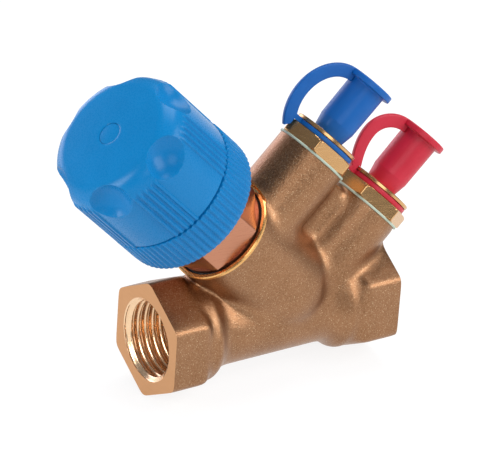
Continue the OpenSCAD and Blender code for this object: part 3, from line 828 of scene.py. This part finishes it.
def dress_nodes():
    finishes = {
        "bonnet_seal": RUBBER, "spindle": COPPER, "spindle_clip": STEEL, "spindle_seals": RUBBER,
        "valve_plug": COPPER, "plug_seal": RUBBER, "regulating_cone": COPPER, "preset_stop_screw": STEEL,
        "handwheel_screw": STEEL, "blue_port_core": RUBBER, "blue_port_retainer": PORT_BRASS,
        "red_port_core": RUBBER, "red_port_retainer": PORT_BRASS,
    }
    for name, material in finishes.items():
        dress(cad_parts[name], material)


# Camera, light and floor

WORLD_STRENGTH = 0.2
FLOOR_Z = -0.0157
FLOOR_REACH = 3.0
FLOOR_GREY = 0.8
# What the camera and the metal see: a glow, and a diffuse part that carries the shadow
FLOOR_GLOW = 0.84
FLOOR_SHADED = 0.22


def camera():
    """Camera fitted to the corners of both hexagons and to the rims: its turn, rise, roll and place."""
    turn, rise, roll = math.radians(-34.595), math.radians(27.092), math.radians(4.112)
    shift_right, shift_up, distance = 2.278, -21.209, 989.78
    middle = Vector((32.5, 0, 0))
    back = Vector((math.sin(turn) * math.cos(rise), -math.cos(turn) * math.cos(rise), math.sin(rise)))
    right = Vector((math.cos(turn), math.sin(turn), 0))
    up = back.cross(right)
    across = right * math.cos(roll) + up * math.sin(roll)
    above = -right * math.sin(roll) + up * math.cos(roll)
    place = middle - shift_right * across - shift_up * above + distance * back
    data = bpy.data.cameras.new("camera")
    data.sensor_width = 36
    data.lens = 290.96
    data.clip_end = 10
    obj = bpy.data.objects.new("camera", data)
    turned = Matrix((across, above, back)).transposed().to_4x4()
    obj.matrix_world = Matrix.Translation(place * MM) @ turned
    bpy.context.scene.collection.objects.link(obj)
    bpy.context.scene.camera = obj
    return across, above, back


def softbox(name, target, direction, distance, size, power, colour=(1, 1, 1)):
    """Soft lamp at a distance from its target in metres, with its two sides in metres and power in watts."""
    data = bpy.data.lights.new(name, "AREA")
    data.shape = "RECTANGLE"
    data.size, data.size_y = size
    data.energy = power
    data.color = colour
    obj = bpy.data.objects.new(name, data)
    place = target + direction.normalized() * distance
    obj.location = place
    obj.rotation_euler = (place - target).to_track_quat("Z", "Y").to_euler()
    bpy.context.scene.collection.objects.link(obj)


def lights(across, above, back):
    """Five soft lamps placed from the camera's axes, and a dim world that the camera sees white."""
    middle = Vector((0.035, 0, 0.025))
    softbox("over", middle, 0.12 * across + 1.0 * above + 0.1 * back, 0.5, (0.4, 0.3), 1.5)
    softbox("side", middle, 1.0 * across + 0.3 * above + 0.58 * back, 0.55, (0.36, 0.42), 2.0)
    softbox("front", middle, 0.15 * across + 0.05 * above + 1.0 * back, 0.8, (0.4, 0.45), 1.3)
    softbox("left", middle, -0.78 * across + 0.08 * above + 0.6 * back, 0.5, (0.2, 0.24), 1.1)
    softbox("behind", middle, -0.7 * across + 0.25 * above - 0.68 * back, 0.5, (0.4, 0.5), 1.8,
            colour=(0.88, 0.84, 1.0))
    world = bpy.data.worlds.new("studio")
    world.use_nodes = True
    bpy.context.scene.world = world
    tree = world.node_tree
    tree.nodes.clear()
    out = tree.nodes.new("ShaderNodeOutputWorld")
    path = tree.nodes.new("ShaderNodeLightPath")
    plain = tree.nodes.new("ShaderNodeBackground")
    plain.inputs["Color"].default_value = (0.86, 0.9, 1.0, 1)
    plain.inputs["Strength"].default_value = WORLD_STRENGTH
    white = tree.nodes.new("ShaderNodeBackground")
    white.inputs["Color"].default_value = (1, 1, 1, 1)
    blend = tree.nodes.new("ShaderNodeMixShader")
    tree.links.new(path.outputs["Is Camera Ray"], blend.inputs[0])
    tree.links.new(plain.outputs[0], blend.inputs[1])
    tree.links.new(white.outputs[0], blend.inputs[2])
    tree.links.new(blend.outputs[0], out.inputs[0])


def floor():
    """Plain pale floor under the hexagons' lowest corners. The camera and the metal see it near white,
    with the object's shadow."""
    corners = [(x * FLOOR_REACH, y * FLOOR_REACH, FLOOR_Z) for x, y in ((-1, -1), (1, -1), (1, 1), (-1, 1))]
    mesh = bpy.data.meshes.new("floor")
    mesh.from_pydata(corners, [], [(0, 1, 2, 3)])
    obj = bpy.data.objects.new("floor", mesh)
    bpy.context.scene.collection.objects.link(obj)
    mat = bpy.data.materials.new("pale_floor")
    mat.use_nodes = True
    tree = mat.node_tree
    tree.nodes.clear()
    out = tree.nodes.new("ShaderNodeOutputMaterial")
    path = tree.nodes.new("ShaderNodeLightPath")
    diffuse = tree.nodes.new("ShaderNodeBsdfDiffuse")
    diffuse.inputs["Color"].default_value = (FLOOR_GREY, FLOOR_GREY, FLOOR_GREY, 1)
    glow = tree.nodes.new("ShaderNodeEmission")
    glow.inputs["Strength"].default_value = FLOOR_GLOW
    shadowed = tree.nodes.new("ShaderNodeBsdfDiffuse")
    shadowed.inputs["Color"].default_value = (FLOOR_SHADED, FLOOR_SHADED, FLOOR_SHADED, 1)
    add = tree.nodes.new("ShaderNodeAddShader")
    choose = tree.nodes.new("ShaderNodeMixShader")
    tree.links.new(glow.outputs[0], add.inputs[0])
    tree.links.new(shadowed.outputs[0], add.inputs[1])
    seen = tree.nodes.new("ShaderNodeMath")
    seen.operation = "MAXIMUM"
    tree.links.new(path.outputs["Is Camera Ray"], seen.inputs[0])
    tree.links.new(path.outputs["Is Glossy Ray"], seen.inputs[1])
    tree.links.new(seen.outputs[0], choose.inputs[0])
    tree.links.new(diffuse.outputs[0], choose.inputs[1])
    tree.links.new(add.outputs[0], choose.inputs[2])
    tree.links.new(choose.outputs[0], out.inputs[0])
    mesh.materials.append(mat)


bpy.context.scene.view_settings.view_transform = "Standard"
lights(*camera())
floor()
valve_casting()
bonnet()
handwheel_ring()
handwheel_grip()
handwheel_cover()
# Colour, height on the spindle, turn of the hexagon, plastic, and the strap's belly, share, start and draw
PORTS = (
    ("blue", PORT_HIGH, 45, CAP_BLUE, (5.17, 0.36, -50, 1)),
    ("red", PORT_LOW, 32, CAP_RED, (3.8, 0.58, -42, 3)),
)
for colour, height, turn, plastic, bend in PORTS:
    port_body(colour, height, turn)
    port_seal(colour, height)
    tether_ring(colour, height, plastic)
    cap(colour, height, plastic)
    strap(colour, height, plastic, *bend)
dress_nodes()
